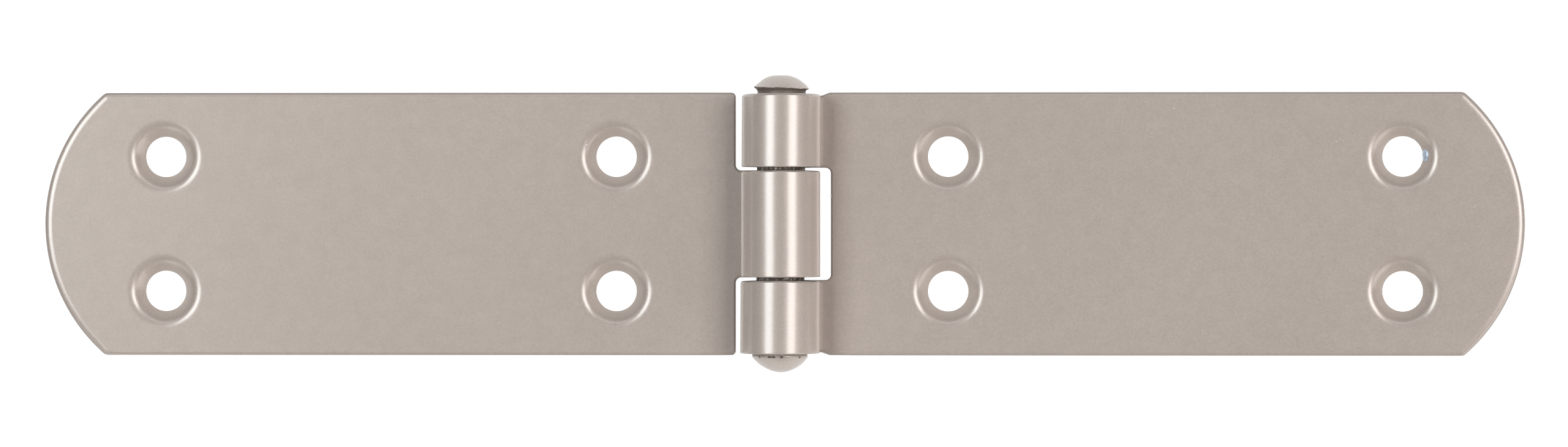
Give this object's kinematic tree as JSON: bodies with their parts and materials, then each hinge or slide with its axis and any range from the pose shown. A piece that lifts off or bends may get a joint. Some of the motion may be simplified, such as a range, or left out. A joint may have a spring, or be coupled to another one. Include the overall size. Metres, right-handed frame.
{
  "type": "trunk lid strap hinge",
  "caption": "Long flat strap hinge for a trunk or chest lid: round-ended leaves with countersunk screw holes, rolled knuckles and a riveted pin.",
  "frame": {"origin": "middle of the underside, below the middle of the pin, with the hinge open flat on its back", "axes": "+X along the leaf that has two knuckles, +Y along the pin towards its hammered head, +Z out of the fronts of the leaves"},
  "size_m": [0.197, 0.0394, 0.0105],
  "materials": {
    "leaf_paint": "satin metallic powder coat, warm silver beige",
    "pin_paint": "satin metallic powder coat over a hammered head"
  },
  "bodies": {
    "right_side": {"right_leaf": "leaf_paint", "hinge_pin": "pin_paint"},
    "left_side": {"left_leaf": "leaf_paint"}
  },
  "joints": [
    {"name": "hinge_fold", "type": "hinge", "parent": "right_side", "child": "left_side", "pos_m": [0, 0, 0.00525], "axis": [0, 1, 0], "range_deg": [-95, 183]}
  ]
}
